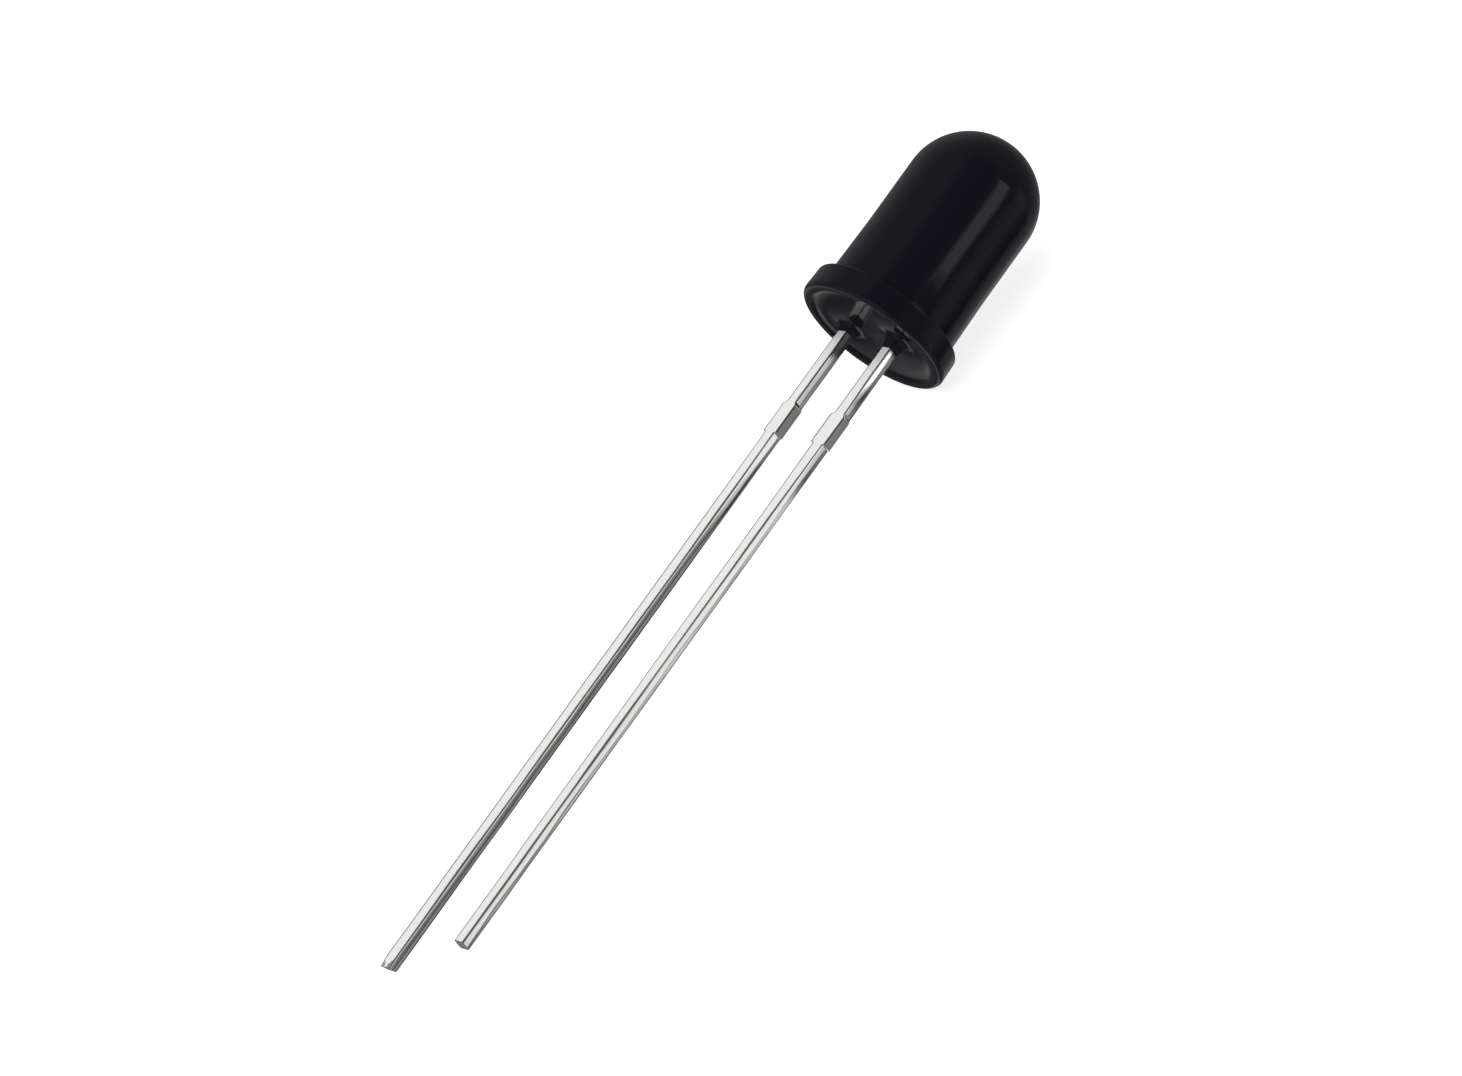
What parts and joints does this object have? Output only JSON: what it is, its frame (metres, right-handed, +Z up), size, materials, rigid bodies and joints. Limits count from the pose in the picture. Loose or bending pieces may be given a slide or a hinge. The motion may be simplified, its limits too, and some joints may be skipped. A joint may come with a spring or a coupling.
{
  "type": "infrared led",
  "caption": "Round 5 mm through-hole infrared emitter: black epoxy body with a domed end and a flanged base, on long straight tin-plated leads with cut tie-bar stubs.",
  "frame": {"origin": "on the surface that the part lies on, under the middle of its box", "axes": "+X along the part towards the dome, which is 5.5 degrees higher than the lead tips; +Y towards the long anode lead; +Z up"},
  "size_m": [0.037, 0.0058, 0.0059],
  "materials": {
    "black_epoxy": "glossy cast black epoxy",
    "tinned_lead": "bright tin plate on steel",
    "semiconductor": "polished semiconductor",
    "silver_epoxy": "matte silver-filled epoxy",
    "gold": "drawn gold wire"
  },
  "bodies": {
    "root": {"epoxy_body": "black_epoxy", "anode_lead": "tinned_lead", "cathode_lead": "tinned_lead", "emitter_chip": "semiconductor", "die_attach": "silver_epoxy", "bond_wire": "gold"}
  },
  "joints": []
}
